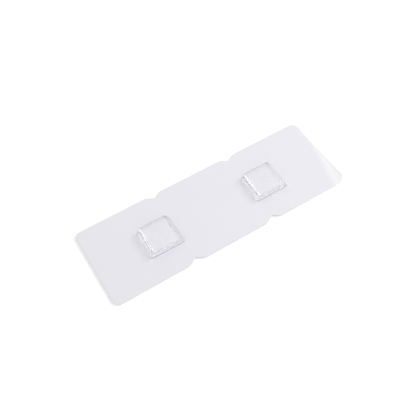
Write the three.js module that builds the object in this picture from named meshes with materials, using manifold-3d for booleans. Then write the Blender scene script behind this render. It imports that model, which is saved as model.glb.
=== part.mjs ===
// Stick-on hanging strip: a translucent film with two clear hooks on its front,
// a gel layer on its back and a thin liner over the gel.
// Millimetres, +Z out of the wall, origin under the middle of the liner.
// X runs along the strip, and +Y points up when the strip is on a wall.

import * as THREE from 'three';
import { mergeVertices } from 'three/addons/utils/BufferGeometryUtils.js';
import Module from 'manifold-3d';

// Strip outline: equal panels in a row, with a notch where two panels meet.
const panelCount = 3;
const panelLength = 60;
const stripWidth = 60;
const cornerRadius = 5;
const notchWidth = 10;
const notchDepth = 3.2;
const notchShoulder = 2.2;
const notchTip = 0.4;

// Layers from the liner upwards.
const linerThickness = 0.15;
const gelThickness = 0.5;
const filmThickness = 0.5;
const gelInset = 0.6;
const pullTabLength = 4.2;

// Places of the hooks on the film.
const hookPitch = 82.5;
const hookShiftX = -0.9;
const hookShiftY = -2;

// Hook: a hollow pocket whose left and right sides lean in, open at its far face.
const hookHeight = 4.7;
const baseLength = 25.3;
const topLength = 20.9;
const nearFace = -11;
const farFace = 11.3;
const nearCorner = 0.8;
const farCorner = 1.8;
const hookEdgeRound = 0.8;
const roofThickness = 1.8;
const sideWall = 2;
const nearWall = 1.8;
const coreCorner = 1.2;
const coreEdgeRound = 0.5;

// Lead-in at the mouth, where the roof gets thinner.
const leadLength = 3.4;
const leadRise = 0.8;

// How far a cutter runs past the surface that it cuts.
const cutPast = 2;

const stripLength = panelCount * panelLength;
const gelBottom = linerThickness;
const filmBottom = gelBottom + gelThickness;
const filmTop = filmBottom + filmThickness;
const sideLean = (baseLength - topLength) / 2 / hookHeight;

const wasm = await Module();
wasm.setup();

function toSolid(geometry) {
  const bare = geometry.clone();
  bare.deleteAttribute('normal');
  bare.deleteAttribute('uv');
  const merged = mergeVertices(bare);
  return new wasm.Manifold(new wasm.Mesh({
    numProp: 3,
    vertProperties: new Float32Array(merged.attributes.position.array),
    triVerts: new Uint32Array(merged.index.array),
  }));
}

function toGeometry(solid) {
  const mesh = solid.getMesh();
  const geometry = new THREE.BufferGeometry();
  geometry.setAttribute('position', new THREE.BufferAttribute(mesh.vertProperties, 3));
  geometry.setIndex(new THREE.BufferAttribute(mesh.triVerts, 1));
  geometry.computeVertexNormals();
  return geometry;
}

function named(name, geometry, look) {
  const material = new THREE.MeshStandardMaterial({ metalness: 0, ...look });
  const mesh = new THREE.Mesh(geometry, material);
  mesh.name = name;
  return mesh;
}

// One V notch with round shoulders. side is -1 on the near edge, which is drawn
// towards +X, and 1 on the far edge, which is drawn towards -X. An inset edge
// keeps the same distance from the notch's slopes as from the straight edge.
function addNotch(outline, centre, side, halfWidth, inset) {
  const slope = Math.atan2(notchDepth, notchWidth / 2);
  const depth = notchDepth + inset * (1 / Math.cos(slope) - 1);
  const mouth = depth / Math.tan(slope);
  const shoulder = [notchShoulder * Math.cos(slope), notchShoulder * Math.sin(slope)];
  const tip = [notchTip * Math.cos(slope), notchTip * Math.sin(slope)];
  const at = (along, deep) => [centre - side * along, side * (halfWidth - deep)];
  outline.lineTo(...at(-mouth - notchShoulder, 0));
  outline.quadraticCurveTo(...at(-mouth, 0), ...at(shoulder[0] - mouth, shoulder[1]));
  outline.lineTo(...at(-tip[0], depth - tip[1]));
  outline.quadraticCurveTo(...at(0, depth), ...at(tip[0], depth - tip[1]));
  outline.lineTo(...at(mouth - shoulder[0], shoulder[1]));
  outline.quadraticCurveTo(...at(mouth, 0), ...at(mouth + notchShoulder, 0));
}

// The die-cut outline, moved in by inset, and by endInset at the right-hand end.
function stripOutline(inset, endInset) {
  const left = inset - stripLength / 2;
  const right = stripLength / 2 - endInset;
  const half = stripWidth / 2 - inset;
  const radius = cornerRadius - inset;
  const notches = [];
  for (let i = 1; i < panelCount; i += 1) {
    notches.push(i * panelLength - stripLength / 2);
  }
  const outline = new THREE.Shape();
  outline.moveTo(left + radius, -half);
  notches.forEach((centre) => addNotch(outline, centre, -1, half, inset));
  outline.lineTo(right - radius, -half);
  outline.absarc(right - radius, radius - half, radius, -Math.PI / 2, 0);
  outline.lineTo(right, half - radius);
  outline.absarc(right - radius, half - radius, radius, 0, Math.PI / 2);
  notches.reverse().forEach((centre) => addNotch(outline, centre, 1, half, inset));
  outline.lineTo(left + radius, half);
  outline.absarc(left + radius, half - radius, radius, Math.PI / 2, Math.PI);
  outline.lineTo(left, radius - half);
  outline.absarc(left + radius, radius - half, radius, Math.PI, Math.PI * 1.5);
  return outline;
}

function layer(outline, thickness) {
  return new THREE.ExtrudeGeometry(outline, { depth: thickness, bevelEnabled: false, curveSegments: 8 });
}

// A rectangle with its own radius on the near corners and on the far corners.
function roundedRectangle(halfLength, near, far, nearRadius, farRadius) {
  const outline = new THREE.Shape();
  outline.moveTo(nearRadius - halfLength, near);
  outline.lineTo(halfLength - nearRadius, near);
  outline.absarc(halfLength - nearRadius, near + nearRadius, nearRadius, -Math.PI / 2, 0);
  outline.lineTo(halfLength, far - farRadius);
  outline.absarc(halfLength - farRadius, far - farRadius, farRadius, 0, Math.PI / 2);
  outline.lineTo(farRadius - halfLength, far);
  outline.absarc(farRadius - halfLength, far - farRadius, farRadius, Math.PI / 2, Math.PI);
  outline.lineTo(-halfLength, near + nearRadius);
  outline.absarc(nearRadius - halfLength, near + nearRadius, nearRadius, Math.PI, Math.PI * 1.5);
  return outline;
}

// Skins a row of outlines that have the same number of points, each at its own height.
function loft(rings) {
  const positions = [];
  rings.forEach(({ outline, height }) => {
    const points = outline.extractPoints(5).shape.slice(0, -1);
    points.forEach((point) => positions.push(point.x, point.y, height));
  });
  const count = positions.length / 3 / rings.length;
  const last = (rings.length - 1) * count;
  const index = [];
  for (let i = 0; i < count; i += 1) {
    const j = (i + 1) % count;
    for (let row = 0; row < last; row += count) {
      index.push(row + i, row + j, row + count + j, row + i, row + count + j, row + count + i);
    }
    if (i > 0 && j > 0) {
      index.push(0, j, i, last, last + i, last + j);
    }
  }
  const geometry = new THREE.BufferGeometry();
  geometry.setAttribute('position', new THREE.Float32BufferAttribute(positions, 3));
  geometry.setIndex(index);
  return toSolid(geometry);
}

// A block from below the film face up to height. Its left and right sides lean
// in, its near and far faces are upright, and its upper edge is rounded.
function leaningBlock(halfLength, near, far, height, nearRadius, farRadius, round) {
  const ring = (level, inset) => ({
    height: level,
    outline: roundedRectangle(
      halfLength - sideLean * level - inset,
      near + inset,
      far - inset,
      nearRadius,
      farRadius,
    ),
  });
  const steps = [0, 1, 2, 3].map((i) => (i * Math.PI) / 6);
  const crown = steps.map((t) => ring(height - round * (1 - Math.sin(t)), round * (1 - Math.cos(t))));
  return loft([ring(-cutPast, 0), ...crown]);
}

// The ramp under the roof's far edge, drawn in the Y-Z plane and run along X.
function leadInCutter(halfLength, roofUnderside) {
  const start = farFace - leadLength;
  const end = farFace + cutPast;
  const low = roofUnderside - coreEdgeRound;
  const outline = new THREE.Shape();
  outline.moveTo(start, low);
  outline.lineTo(end, low);
  outline.lineTo(end, roofUnderside + leadRise * (1 + cutPast / leadLength));
  outline.lineTo(start, roofUnderside);
  const geometry = new THREE.ExtrudeGeometry(outline, { depth: 2 * halfLength, bevelEnabled: false });
  geometry.translate(0, 0, -halfLength);
  const [x, y, z] = [new THREE.Vector3(1, 0, 0), new THREE.Vector3(0, 1, 0), new THREE.Vector3(0, 0, 1)];
  geometry.applyMatrix4(new THREE.Matrix4().makeBasis(y, z, x));
  return toSolid(geometry);
}

// The moulding stands on z = 0, where its open rim meets the film.
function hookGeometry() {
  const half = baseLength / 2;
  const blank = leaningBlock(half, nearFace, farFace, hookHeight, nearCorner, farCorner, hookEdgeRound);

  const coreHalf = half - sideWall;
  const coreNear = nearFace + nearWall;
  const coreFar = farFace + cutPast;
  const coreTop = hookHeight - roofThickness;
  const core = leaningBlock(coreHalf, coreNear, coreFar, coreTop, coreCorner, coreEdgeRound, coreEdgeRound);
  const leadIn = leadInCutter(coreHalf - sideLean * coreTop - coreEdgeRound, coreTop);

  const trimDepth = 2 * cutPast;
  const trim = new THREE.BoxGeometry(2 * baseLength, 2 * (farFace - nearFace), trimDepth);
  trim.translate(0, 0, -trimDepth / 2);

  return toGeometry(blank.subtract(core).subtract(leadIn).subtract(toSolid(trim)));
}

function stripLayers() {
  const fullOutline = stripOutline(0, 0);
  const gelOutline = stripOutline(gelInset, pullTabLength);

  const linerLook = { color: 0xf2f3f4, roughness: 0.5 };
  const liner = named('release_liner', layer(fullOutline, linerThickness), linerLook);

  const gelLook = { color: 0xe9e9ee, roughness: 0.3, transparent: true, opacity: 0.6 };
  const gel = named('adhesive_layer', layer(gelOutline, gelThickness), gelLook);
  gel.position.z = gelBottom;

  const filmLook = { color: 0xe8e7ec, roughness: 0.35, transparent: true, opacity: 0.8 };
  const film = named('carrier_film', layer(fullOutline, filmThickness), filmLook);
  film.position.z = filmBottom;

  return [liner, gel, film];
}

function hooks() {
  const hookLook = { color: 0xeeeff3, roughness: 0.06, transparent: true, opacity: 0.35 };
  return [['hook_left', -1], ['hook_right', 1]].map(([name, side]) => {
    const hook = named(name, hookGeometry(), hookLook);
    hook.position.set(hookShiftX + side * hookPitch / 2, hookShiftY, filmTop);
    return hook;
  });
}

const strip = new THREE.Group();
strip.add(...stripLayers(), ...hooks());

export default strip;
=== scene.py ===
import math

import bmesh
import bpy
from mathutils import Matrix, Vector


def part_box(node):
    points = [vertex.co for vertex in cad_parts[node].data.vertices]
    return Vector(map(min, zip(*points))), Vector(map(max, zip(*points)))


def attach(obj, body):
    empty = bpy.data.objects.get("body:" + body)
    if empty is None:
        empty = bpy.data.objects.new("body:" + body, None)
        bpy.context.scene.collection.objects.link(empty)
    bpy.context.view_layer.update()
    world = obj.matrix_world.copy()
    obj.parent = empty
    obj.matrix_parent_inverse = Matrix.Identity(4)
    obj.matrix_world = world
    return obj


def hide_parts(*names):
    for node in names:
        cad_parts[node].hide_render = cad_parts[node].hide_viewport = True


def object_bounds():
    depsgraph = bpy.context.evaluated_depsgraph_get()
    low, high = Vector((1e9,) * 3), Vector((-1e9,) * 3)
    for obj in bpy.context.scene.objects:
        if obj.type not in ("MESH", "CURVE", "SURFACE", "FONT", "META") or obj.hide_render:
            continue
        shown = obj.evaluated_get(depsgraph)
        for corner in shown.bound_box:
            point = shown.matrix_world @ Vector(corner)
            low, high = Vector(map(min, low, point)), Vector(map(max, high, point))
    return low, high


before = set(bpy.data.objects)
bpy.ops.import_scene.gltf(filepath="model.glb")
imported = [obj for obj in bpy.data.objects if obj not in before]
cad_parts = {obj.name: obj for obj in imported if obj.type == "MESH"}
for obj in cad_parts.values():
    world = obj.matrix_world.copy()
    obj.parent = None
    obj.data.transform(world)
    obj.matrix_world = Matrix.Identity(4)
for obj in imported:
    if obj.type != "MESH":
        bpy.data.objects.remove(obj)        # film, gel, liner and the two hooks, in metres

cadBox = [list(corner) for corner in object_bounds()]
mm = 0.001
weldDistance = 0.0001 * mm
noneYet = 0.5            # a count of bounces below this is none
scene = bpy.context.scene
filmLow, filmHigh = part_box("carrier_film")
print("frame loaded:", ", ".join(sorted(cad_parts)))


# Camera, at the photograph's viewing angle
cameraSettings = {
    "place": (-120.4 * mm, -186.5 * mm, 354.8 * mm),   # from the middle of the film's top face
    "aim": (0.2798, 0.4482, -0.8490),
    "lens": 53.48,
    "sensor": 36.0,
    "nearest": 10 * mm,
}


# a camera or a lamp that looks along direction
def addTurned(name, data, place, direction):
    thing = bpy.data.objects.new(name, data)
    scene.collection.objects.link(thing)
    thing.location = place
    thing.rotation_mode = "QUATERNION"
    thing.rotation_quaternion = Vector(direction).to_track_quat("-Z", "Y")
    return thing


def addCamera():
    s = cameraSettings
    data = bpy.data.cameras.new("camera")
    data.lens = s["lens"]
    data.sensor_width = s["sensor"]
    data.clip_start = s["nearest"]
    place = Vector(s["place"]) + Vector((0, 0, filmHigh.z))
    scene.camera = addTurned("camera", data, place, s["aim"])


# Material helpers
def newMaterial(name):
    material = bpy.data.materials.new(name)
    material.use_nodes = True
    tree = material.node_tree
    return material, tree, tree.nodes["Principled BSDF"]


def addNode(tree, kind, **values):
    node = tree.nodes.new(kind)
    for key, value in values.items():
        node.inputs[key].default_value = value
    return node


def objectPlace(tree):
    return tree.nodes.new("ShaderNodeTexCoord").outputs["Object"]


def noiseField(tree, grain, detail=3.0):
    field = addNode(tree, "ShaderNodeTexNoise", Scale=1 / grain, Detail=detail)
    tree.links.new(objectPlace(tree), field.inputs["Vector"])
    return field.outputs["Fac"]


# maps the source's own range onto low to high, and noise mostly lies between 0.3 and 0.7
def spread(tree, source, low, high, sourceLow=0.3, sourceHigh=0.7):
    node = tree.nodes.new("ShaderNodeMapRange")
    node.inputs["From Min"].default_value = sourceLow
    node.inputs["From Max"].default_value = sourceHigh
    node.inputs["To Min"].default_value = low
    node.inputs["To Max"].default_value = high
    tree.links.new(source, node.inputs["Value"])
    return node.outputs["Result"]


# first and second are plain colours or the outputs of other nodes
def mixColours(tree, factor, first, second):
    node = tree.nodes.new("ShaderNodeMix")
    node.data_type = "RGBA"
    sockets = [socket for socket in node.inputs if socket.type == "RGBA"]
    for socket, colour in zip(sockets, (first, second)):
        if isinstance(colour, tuple):
            socket.default_value = (*colour, 1)
        else:
            tree.links.new(colour, socket)
    tree.links.new(factor, node.inputs["Factor"])
    return next(socket for socket in node.outputs if socket.type == "RGBA")


def joinValues(tree, operation, first, second=None):
    node = tree.nodes.new("ShaderNodeMath")
    node.operation = operation
    for socket, value in zip(node.inputs, (first, second)):
        if isinstance(value, float):
            socket.default_value = value
        elif value is not None:
            tree.links.new(value, socket)
    return node.outputs[0]


def joinAll(tree, operation, first, *others):
    for other in others:
        first = joinValues(tree, operation, first, other)
    return first


def splitAxes(tree, vector):
    node = tree.nodes.new("ShaderNodeSeparateXYZ")
    tree.links.new(vector, node.inputs["Vector"])
    return node.outputs


# 0 on an upright face and 1 on a level one
def levelness(tree, normal):
    return joinValues(tree, "ABSOLUTE", splitAxes(tree, normal)["Z"])


def addBump(tree, shader, height, strength, distance):
    bump = addNode(tree, "ShaderNodeBump", Strength=strength, Distance=distance)
    tree.links.new(height, bump.inputs["Height"])
    tree.links.new(bump.outputs["Normal"], shader.inputs["Normal"])


def tintedShader(tree, kind, colour):
    node = tree.nodes.new(kind)
    tree.links.new(colour, node.inputs["Color"])
    return node.outputs["BSDF"]


def mixShaders(tree, factor, first, second):
    mix = tree.nodes.new("ShaderNodeMixShader")
    if isinstance(factor, float):
        mix.inputs["Fac"].default_value = factor
    else:
        tree.links.new(factor, mix.inputs["Fac"])
    tree.links.new(first, mix.inputs[1])
    tree.links.new(second, mix.inputs[2])
    tree.links.new(mix.outputs["Shader"], tree.nodes["Material Output"].inputs["Surface"])
    return mix.outputs["Shader"]


# The die-cut outline that the film, the gel and the liner share
stripCut = {
    "panels": 3,
    "cornerRadius": 5 * mm,
    "notchWidth": 10 * mm,
    "notchDepth": 3.2 * mm,
    "notchShoulder": 2.2 * mm,
    "notchTip": 0.4 * mm,
    "arcSteps": 12,
    "bendSteps": 8,
}


def arcPoints(centreX, centreY, radius, start, steps):
    turns = [math.radians(start + 90 * i / steps) for i in range(steps + 1)]
    return [(centreX + radius * math.cos(t), centreY + radius * math.sin(t)) for t in turns]


def bendPoints(start, corner, end, steps):
    points = []
    for i in range(steps + 1):
        t = i / steps
        weights = ((1 - t) ** 2, 2 * t * (1 - t), t * t)
        points.append(tuple(sum(w * p[k] for w, p in zip(weights, (start, corner, end))) for k in (0, 1)))
    return points


# side is -1 on the near edge, drawn towards +X, and 1 on the far edge, drawn towards -X
def notchPoints(centre, side, half, edge):
    slope = math.atan2(stripCut["notchDepth"], stripCut["notchWidth"] / 2)
    depth = stripCut["notchDepth"] + edge * (1 / math.cos(slope) - 1)
    mouth = depth / math.tan(slope)
    shoulder, tip, steps = stripCut["notchShoulder"], stripCut["notchTip"], stripCut["bendSteps"]
    shoulderX, shoulderY = shoulder * math.cos(slope), shoulder * math.sin(slope)
    tipX, tipY = tip * math.cos(slope), tip * math.sin(slope)

    def at(along, deep):
        return centre - side * along, side * (half - deep)

    into = bendPoints(at(-mouth - shoulder, 0), at(-mouth, 0), at(shoulderX - mouth, shoulderY), steps)
    bottom = bendPoints(at(-tipX, depth - tipY), at(0, depth), at(tipX, depth - tipY), steps)
    outOf = bendPoints(at(mouth - shoulderX, shoulderY), at(mouth, 0), at(mouth + shoulder, 0), steps)
    return into + bottom + outOf


# the outline of a layer whose box is low to high, moved in by inset
def stripOutline(low, high, inset):
    edge = filmHigh.y - high.y + inset
    left, right, half = low.x + inset, high.x - inset, high.y - inset
    radius, steps = stripCut["cornerRadius"] - edge, stripCut["arcSteps"]
    panel = (filmHigh.x - filmLow.x) / stripCut["panels"]
    notches = [filmLow.x + panel * i for i in range(1, stripCut["panels"])]
    points = arcPoints(left + radius, radius - half, radius, 180, steps)
    for centre in notches:
        points += notchPoints(centre, -1, half, edge)
    points += arcPoints(right - radius, radius - half, radius, 270, steps)
    points += arcPoints(right - radius, half - radius, radius, 0, steps)
    for centre in reversed(notches):
        points += notchPoints(centre, 1, half, edge)
    points += arcPoints(left + radius, half - radius, radius, 90, steps)
    return points


# The near right-hand corner of the soft laminate has curled up a little
cornerCurl = {
    "farStart": 7 * mm,        # where the curl starts on the right-hand end, measured from the middle
    "nearReach": 9 * mm,       # how far in along the near edge it reaches
    "rise": 1.5 * mm,
}


# the line where the curl starts, as a point on it, its outward direction and the distance to the corner
def curlLine():
    start = Vector((filmHigh.x, cornerCurl["farStart"]))
    stop = Vector((filmHigh.x - cornerCurl["nearReach"], filmLow.y))
    along = (stop - start).normalized()
    outward = Vector((-along.y, along.x))
    return start, outward, (Vector((filmHigh.x, filmLow.y)) - start).dot(outward)


def curlRise(x, y):
    start, outward, reach = curlLine()
    past = max(0.0, (Vector((x, y)) - start).dot(outward) / reach)
    return cornerCurl["rise"] * past ** 2


# joins a row of rings of points into a closed skin
def skinRings(rings):
    bm = bmesh.new()
    rows = [[bm.verts.new(point) for point in ring] for ring in rings]
    count = len(rows[0])
    for lower, upper in zip(rows, rows[1:]):
        for i in range(count):
            j = (i + 1) % count
            bm.faces.new((lower[i], lower[j], upper[j], upper[i]))
    bm.faces.new(list(reversed(rows[0])))
    bm.faces.new(rows[-1])
    return bm


def linkMesh(name, bm, smoothAngle=30):
    bmesh.ops.recalc_face_normals(bm, faces=bm.faces)
    mesh = bpy.data.meshes.new(name)
    bm.to_mesh(mesh)
    bm.free()
    mesh.shade_smooth()
    mesh.set_sharp_from_angle(angle=math.radians(smoothAngle))
    piece = bpy.data.objects.new(name, mesh)
    scene.collection.objects.link(piece)
    return piece


# a die-cut layer with softly rounded edges, cut into a grid so that it can bend
def softLayer(name, node, settings):
    low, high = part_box(node)
    gap, edge, steps = settings["airGap"], settings["edgeRound"], settings["edgeSteps"]
    bottom, top = low.z + gap, high.z - gap
    turns = [math.pi / 2 * i / steps for i in range(steps + 1)]
    section = [(edge * (1 - math.sin(t)), bottom + edge * (1 - math.cos(t))) for t in turns]
    section += [(edge * (1 - math.cos(t)), top - edge * (1 - math.sin(t))) for t in turns]
    rings = []
    for inset, z in section:
        rings.append([(x, y, z) for x, y in stripOutline(low, high, inset)])
    bm = skinRings(rings)
    for axis in (0, 1):
        direction = Vector((1 - axis, axis, 0))
        cuts = round((high[axis] - low[axis]) / settings["grid"])
        for i in range(1, cuts):
            place = direction * (low[axis] + (high[axis] - low[axis]) * i / cuts)
            parts = bm.verts[:] + bm.edges[:] + bm.faces[:]
            bmesh.ops.bisect_plane(bm, geom=parts, dist=weldDistance, plane_co=place, plane_no=direction)
    for v in bm.verts:
        v.co.z += curlRise(v.co.x, v.co.y)
    piece = linkMesh(name, bm, settings["smoothAngle"])
    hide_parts(node)
    return piece


# Film: soft translucent sheet with a satin face
filmSettings = {
    "airGap": 0.01 * mm,
    "edgeRound": 0.12 * mm,
    "edgeSteps": 3,
    "grid": 2.5 * mm,
    "smoothAngle": 50,
    "pale": (0.775, 0.765, 0.81),
    "paler": (0.795, 0.785, 0.828),
    # painted light: the whiter colour of the curled corner, as if the lamp shone through it
    "free": (0.885, 0.885, 0.90),
    "backlitSoft": 2.2 * mm,
    # painted light: the paler colour of the cut edge, as if lit
    "litCutEdge": (0.97, 0.97, 0.98),
    "cutLevel": (0.5, 0.9),    # faces steeper than this count as the cut edge
    "endLine": (0.70, 0.70, 0.715),
    "endLineWidth": 0.9 * mm,
    "through": 0.03,           # share of the light that passes into the sheet
    "cloudSize": 40 * mm,
    "cloudDetail": 2.0,
    "grainSize": 0.35 * mm,
    "grainStrength": 0.12,
    "grainHeight": 0.01 * mm,
    "roughLow": 0.32,
    "roughHigh": 0.42,
}


def filmFinish():
    s = filmSettings
    material, tree, shader = newMaterial("satin translucent film")
    body = mixColours(tree, noiseField(tree, s["cloudSize"], s["cloudDetail"]), s["pale"], s["paler"])
    # painted light: the curled corner is painted whiter, as if the lamp shone through it from behind
    start, outward = curlLine()[:2]
    across = tree.nodes.new("ShaderNodeVectorMath")
    across.operation = "DOT_PRODUCT"
    across.inputs[1].default_value = (outward.x, outward.y, 0)
    place = objectPlace(tree)
    tree.links.new(place, across.inputs[0])
    edge, soft = start.dot(outward), s["backlitSoft"]
    backlitPart = spread(tree, across.outputs["Value"], 0.0, 1.0, edge - soft, edge + soft)
    colour = mixColours(tree, backlitPart, body, s["free"])
    # painted light: the cut edge is painted paler, as if lit, and the curled end shows a thin grey line
    normal = tree.nodes.new("ShaderNodeNewGeometry").outputs["True Normal"]
    cut = spread(tree, levelness(tree, normal), 1.0, 0.0, *s["cutLevel"])
    colour = mixColours(tree, cut, colour, s["litCutEdge"])
    inner = filmHigh.x - s["endLineWidth"]
    endLine = spread(tree, splitAxes(tree, place)["X"], 0.0, 1.0, inner, inner + s["endLineWidth"] / 3)
    colour = mixColours(tree, joinValues(tree, "MULTIPLY", endLine, backlitPart), colour, s["endLine"])
    tree.links.new(colour, shader.inputs["Base Color"])
    grain = noiseField(tree, s["grainSize"])
    tree.links.new(spread(tree, grain, s["roughLow"], s["roughHigh"]), shader.inputs["Roughness"])
    addBump(tree, shader, grain, s["grainStrength"], s["grainHeight"])
    through = tintedShader(tree, "ShaderNodeBsdfTranslucent", colour)
    mixShaders(tree, s["through"], shader.outputs["BSDF"], through)
    return material


# Gel: clear tacky layer, a little milky, with fine bubbles
gelSettings = {
    "airGap": 0.02 * mm,
    "edgeRound": 0.2 * mm,
    "edgeSteps": 4,
    "grid": 2.5 * mm,
    "smoothAngle": 60,
    "milk": (0.90, 0.90, 0.915),
    "bubble": (0.95, 0.95, 0.955),
    "through": 0.5,
    "bubbleSize": 1.6 * mm,
    "bubbleEdge": (0.06, 0.12),    # as a share of the bubble's cell
    "bubbleStrength": 0.3,
    "bubbleHeight": 0.02 * mm,
    "rough": 0.18,
}


def gelFinish():
    s = gelSettings
    material, tree, shader = newMaterial("tacky gel")
    cells = addNode(tree, "ShaderNodeTexVoronoi", Scale=1 / s["bubbleSize"])
    tree.links.new(objectPlace(tree), cells.inputs["Vector"])
    bubbles = spread(tree, cells.outputs["Distance"], 1.0, 0.0, *s["bubbleEdge"])
    colour = mixColours(tree, bubbles, s["milk"], s["bubble"])
    tree.links.new(colour, shader.inputs["Base Color"])
    shader.inputs["Roughness"].default_value = s["rough"]
    addBump(tree, shader, bubbles, s["bubbleStrength"], s["bubbleHeight"])
    through = tintedShader(tree, "ShaderNodeBsdfTranslucent", colour)
    mixShaders(tree, s["through"], shader.outputs["BSDF"], through)
    return material


# Liner: thin pale cover over the gel
linerSettings = {
    "airGap": 0.005 * mm,
    "edgeRound": 0.05 * mm,
    "edgeSteps": 2,
    "grid": 2.5 * mm,
    "smoothAngle": 50,
    "pale": (0.91, 0.91, 0.915),
    "paler": (0.95, 0.95, 0.95),
    "cloudSize": 12 * mm,
    "grainSize": 0.6 * mm,
    "grainDetail": 2.0,
    "grainStrength": 0.15,
    "grainHeight": 0.01 * mm,
    "roughLow": 0.38,
    "roughHigh": 0.52,
}


def linerFinish():
    s = linerSettings
    material, tree, shader = newMaterial("release liner film")
    colour = mixColours(tree, noiseField(tree, s["cloudSize"]), s["pale"], s["paler"])
    tree.links.new(colour, shader.inputs["Base Color"])
    grain = noiseField(tree, s["grainSize"], s["grainDetail"])
    tree.links.new(spread(tree, grain, s["roughLow"], s["roughHigh"]), shader.inputs["Roughness"])
    addBump(tree, shader, grain, s["grainStrength"], s["grainHeight"])
    return material


# Hooks: clear hollow pockets that lean in at the left and right, with a mouth at the far side
hookSettings = {
    "airGap": 0.06 * mm,       # keeps the foot of the moulding off the film's face
    "topLength": 20.9 * mm,
    "nearCorner": 0.8 * mm,
    "farCorner": 1.8 * mm,
    "edgeRound": 0.8 * mm,
    "roof": 1.8 * mm,
    "sideWall": 2.0 * mm,
    "nearWall": 1.8 * mm,
    "coreCorner": 1.2 * mm,
    "coreRound": 0.5 * mm,
    "leadLength": 3.4 * mm,    # the roof gets thinner towards the mouth
    "leadRise": 0.8 * mm,
    "cornerSteps": 8,
    "roundSteps": 14,
    "cutPast": 2 * mm,
    "tint": (0.998, 0.999, 1.0),
    "openThrough": 1.0,        # what most faces let through of the lamp's light
    "leftThrough": 0.42,       # what the outer left wall lets through of it
    "plain": 0.62,             # share of the view that passes without bending
    # painted shade along the foot of the walls
    "footShadeTint": (0.48, 0.48, 0.55),
    "footShadeHeight": 1.1 * mm,    # painted shade along the foot
    "nearShadeDepth": (0.2 * mm, 0.4 * mm),     # fades out between these two depths
    "sideShadeDepth": (0.5 * mm, 0.7 * mm),
    "leftFootShade": 0.3,           # how strongly the painted foot shade shows on the left and on the right
    "rightFootShade": 0.8,
    "uprightLevel": (0.55, 0.65),              # faces steeper than this count as upright
    "leftFacing": -0.5,        # faces that point further to the left than this are left walls
    "leftReach": (3.0 * mm, 3.1 * mm),         # how far in the outer left wall comes
    # painted shade along the mouth's rim
    "rimShadeTint": (0.91, 0.912, 0.93),
    "rimShadeDepth": 2.6 * mm,      # painted shade along the cut edge of the roof at the mouth
    "roughLow": 0.10,
    "roughHigh": 0.14,
    "scuffSize": 3 * mm,
    "bend": 1.45,
}


def roundedOutline(left, right, near, far, nearRadius, farRadius):
    steps = hookSettings["cornerSteps"]
    points = arcPoints(left + nearRadius, near + nearRadius, nearRadius, 180, steps)
    points += arcPoints(right - nearRadius, near + nearRadius, nearRadius, 270, steps)
    points += arcPoints(right - farRadius, far - farRadius, farRadius, 0, steps)
    points += arcPoints(left + farRadius, far - farRadius, farRadius, 90, steps)
    return points


# left and right sides lean in with height above the film, and the upper edge is rounded
def leaningBlock(name, sides, base, bottom, top, lean, radii, edge):
    left, right, near, far = sides

    def ring(z, inset):
        shift = lean * (z - base) + inset
        outline = roundedOutline(left + shift, right - shift, near + inset, far - inset, *radii)
        return [(x, y, z) for x, y in outline]

    steps = hookSettings["roundSteps"]
    turns = [math.pi / 2 * i / steps for i in range(steps + 1)]
    crown = [ring(top - edge * (1 - math.sin(t)), edge * (1 - math.cos(t))) for t in turns]
    return linkMesh(name, skinRings([ring(bottom, 0.0)] + crown))


def cutAway(piece, tool):
    change = piece.modifiers.new("cut", "BOOLEAN")
    change.object = tool
    change.operation = "DIFFERENCE"
    change.solver = "EXACT"
    graph = bpy.context.evaluated_depsgraph_get()
    mesh = bpy.data.meshes.new_from_object(piece.evaluated_get(graph))
    piece.modifiers.clear()
    piece.data = mesh
    bpy.data.objects.remove(tool)


def hangingPocket(name, node):
    s = hookSettings
    low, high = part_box(node)
    foot, past = low.z + s["airGap"], s["cutPast"]
    lean = (high.x - low.x - s["topLength"]) / 2 / (high.z - low.z)
    sides = (low.x, high.x, low.y, high.y)
    radii = (s["nearCorner"], s["farCorner"])
    piece = leaningBlock(name, sides, low.z, foot, high.z, lean, radii, s["edgeRound"])

    under = high.z - s["roof"]
    core = (low.x + s["sideWall"], high.x - s["sideWall"], low.y + s["nearWall"], high.y + past)
    radii = (s["coreCorner"], s["coreRound"])
    hollow = leaningBlock("core", core, low.z, low.z - past, under, lean, radii, s["coreRound"])
    cutAway(piece, hollow)

    # the ramp that lifts the roof's underside towards the mouth
    ease = s["coreRound"] + lean * (under - low.z)
    left, right = core[0] + ease, core[1] - ease
    start, end = high.y - s["leadLength"], high.y + past
    climb = s["leadRise"] * (1 + past / s["leadLength"])
    corners = ((left, start), (right, start), (right, end), (left, end))
    flat = [(x, y, under - s["coreRound"]) for x, y in corners]
    ramp = [(x, y, under + (climb if y == end else 0.0)) for x, y in corners]
    cutAway(piece, linkMesh("lead-in", skinRings([flat, ramp])))

    piece.data.shade_flat()
    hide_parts(node)
    return piece


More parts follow.
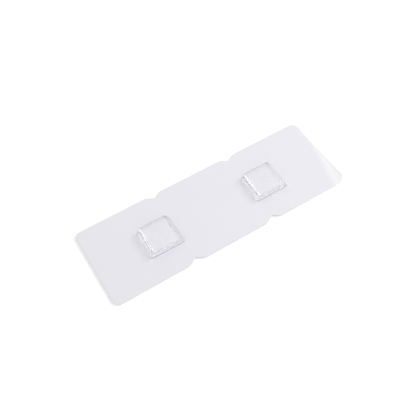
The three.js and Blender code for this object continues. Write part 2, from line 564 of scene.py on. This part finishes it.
def hookFinish(node):
    s = hookSettings
    low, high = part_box(node)
    material, tree, shader = newMaterial("clear plastic of " + node)
    shader.inputs["IOR"].default_value = s["bend"]
    shader.inputs["Transmission Weight"].default_value = 1.0
    scuffs = noiseField(tree, s["scuffSize"])
    tree.links.new(spread(tree, scuffs, s["roughLow"], s["roughHigh"]), shader.inputs["Roughness"])

    # painted shade: a little darker along the foot and at the cut edge of the mouth
    place = splitAxes(tree, objectPlace(tree))
    skin = tree.nodes.new("ShaderNodeNewGeometry")
    normal = skin.outputs["True Normal"]
    upright = spread(tree, levelness(tree, normal), 1.0, 0.0, *s["uprightLevel"])
    rimShade = spread(tree, place["Y"], 0.0, 1.0, high.y - s["rimShadeDepth"], high.y - s["rimShadeDepth"] / 3)
    start, end = s["nearShadeDepth"]
    nearSide = spread(tree, place["Y"], 1.0, 0.0, low.y + start, low.y + end)
    start, end = s["sideShadeDepth"]
    leftSide = spread(tree, place["X"], s["leftFootShade"], 0.0, low.x + start, low.x + end)
    rightSide = spread(tree, place["X"], 0.0, s["rightFootShade"], high.x - end, high.x - start)
    foot = spread(tree, place["Z"], 1.0, 0.0, low.z + s["footShadeHeight"] / 2, low.z + s["footShadeHeight"])
    sides = joinAll(tree, "MAXIMUM", nearSide, leftSide, rightSide)
    footShade = joinAll(tree, "MULTIPLY", foot, sides, upright)
    rimShadedColour = mixColours(tree, rimShade, s["tint"], s["rimShadeTint"])
    colour = mixColours(tree, footShade, rimShadedColour, s["footShadeTint"])
    tree.links.new(colour, shader.inputs["Base Color"])
    plain = tintedShader(tree, "ShaderNodeBsdfTransparent", colour)
    look = mixShaders(tree, s["plain"], shader.outputs["BSDF"], plain)

    # light from the lamp goes straight through, but the outer left wall throws more than half back
    leftward = joinValues(tree, "LESS_THAN", splitAxes(tree, normal)["X"], s["leftFacing"])
    start, end = s["leftReach"]
    outer = spread(tree, place["X"], 1.0, 0.0, low.x + start, low.x + end)
    goingIn = joinValues(tree, "SUBTRACT", 1.0, skin.outputs["Backfacing"])
    kept = joinAll(tree, "MULTIPLY", upright, leftward, outer, goingIn)
    share = spread(tree, kept, s["openThrough"], s["leftThrough"], 0.0, 1.0)
    clear = tintedShader(tree, "ShaderNodeBsdfTransparent", share)
    path = tree.nodes.new("ShaderNodeLightPath")
    mixShaders(tree, path.outputs["Is Shadow Ray"], look, clear)
    return material


# Floor, world and lamps
stageSettings = {
    "floorColour": (0.93, 0.93, 0.93),
    "floorHalf": 3.0,
    "floorDrop": 0.02 * mm,
    "floorRough": 0.9,
    "floorGlow": 0.16,         # lifts the lit floor to white, and leaves the shadow on it
    "ambient": 0.81,
    "lampPlace": (1.25, -0.05, 0.88),
    "lampSize": 0.7,
    "lampPower": 11.1,
    "cardPlace": (-0.68, 0.45, 0.93),
    "cardSize": (1.6, 1.1),
    "cardPower": 120.0,
}


# 1 for what the camera sees straight, in a reflection or through clear plastic, and 0 for light that lands
def seenDirectly(tree):
    path = tree.nodes.new("ShaderNodeLightPath")
    kinds = ("Is Camera Ray", "Is Glossy Ray", "Is Transmission Ray")
    seen = joinAll(tree, "MAXIMUM", *[path.outputs[kind] for kind in kinds])
    first = joinValues(tree, "LESS_THAN", path.outputs["Diffuse Depth"], noneYet)
    return joinValues(tree, "MULTIPLY", seen, first)


def addFloor():
    s = stageSettings
    bm = bmesh.new()
    bmesh.ops.create_grid(bm, x_segments=1, y_segments=1, size=s["floorHalf"])
    bmesh.ops.translate(bm, vec=(0, 0, cadBox[0][2] - s["floorDrop"]), verts=bm.verts)
    floor = linkMesh("floor", bm)
    material, tree, shader = newMaterial("white floor")
    shader.inputs["Base Color"].default_value = (*s["floorColour"], 1)
    shader.inputs["Roughness"].default_value = s["floorRough"]
    shader.inputs["Specular IOR Level"].default_value = 0.0
    shader.inputs["Emission Color"].default_value = (1, 1, 1, 1)
    glow = spread(tree, seenDirectly(tree), 0.0, s["floorGlow"], 0.0, 1.0)
    tree.links.new(glow, shader.inputs["Emission Strength"])
    floor.data.materials.append(material)
    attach(floor, "liner")    # the liner lies on the floor, also when it is peeled off


def addWorld():
    world = bpy.data.worlds.new("studio")
    world.use_nodes = True
    tree = world.node_tree
    background = tree.nodes["Background"]
    background.inputs["Color"].default_value = (1, 1, 1, 1)
    strength = spread(tree, seenDirectly(tree), stageSettings["ambient"], 1.0, 0.0, 1.0)
    tree.links.new(strength, background.inputs["Strength"])
    scene.world = world


def addSoftbox():
    s = stageSettings
    data = bpy.data.lights.new("softbox", "AREA")
    data.size = s["lampSize"]
    data.energy = s["lampPower"]
    lamp = addTurned("softbox", data, s["lampPlace"], -Vector(s["lampPlace"]))
    lamp.visible_transmission = False    # the hooks already let its light straight through


# a card that only shows as a glint on the pockets, not through the plastic
def addGlintCard(pockets):
    s = stageSettings
    data = bpy.data.lights.new("glint card", "AREA")
    data.shape = "RECTANGLE"
    data.size, data.size_y = s["cardSize"]
    data.energy = s["cardPower"]
    data.use_nodes = True
    tree = data.node_tree
    crossings = tree.nodes.new("ShaderNodeLightPath").outputs["Transmission Depth"]
    outside = joinValues(tree, "LESS_THAN", crossings, noneYet)
    tree.links.new(outside, tree.nodes["Emission"].inputs["Strength"])
    card = addTurned("glint card", data, s["cardPlace"], -Vector(s["cardPlace"]))
    card.visible_diffuse = False
    card.visible_transmission = False
    glinting = bpy.data.collections.new("glinting pieces")
    for piece in pockets:
        glinting.objects.link(piece)
    card.light_linking.receiver_collection = glinting


addCamera()
print("camera placed")

layers = (
    ("film_sheet", "carrier_film", "strip", "film", filmSettings, filmFinish),
    ("gel_pad", "adhesive_layer", "strip", "gel", gelSettings, gelFinish),
    ("liner_sheet", "release_liner", "liner", "liner", linerSettings, linerFinish),
)
for pieceName, node, body, slot, settings, finish in layers:
    piece = softLayer(pieceName, node, settings)
    piece.data.materials.append(finish())
    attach(piece, body)
    print(pieceName, "made with", len(piece.data.polygons), "faces")

pockets = []
for pieceName, node in (("pocket_left", "hook_left"), ("pocket_right", "hook_right")):
    piece = hangingPocket(pieceName, node)
    piece.data.materials.clear()
    piece.data.materials.append(hookFinish(node))
    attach(piece, "strip")
    pockets.append(piece)
    print(pieceName, "made with", len(piece.data.polygons), "faces")

addFloor()
addWorld()
addSoftbox()
addGlintCard(pockets)
print("floor, world and lamps in place")

scene.view_settings.view_transform = "Standard"
scene.cycles.blur_glossy = 0.0
scene.cycles.sample_clamp_indirect = 3.0    # holds back bright specks in the clear plastic
scene.cycles.max_bounces = 32
scene.cycles.diffuse_bounces = 10
scene.cycles.transmission_bounces = 32
scene.cycles.transparent_max_bounces = 32
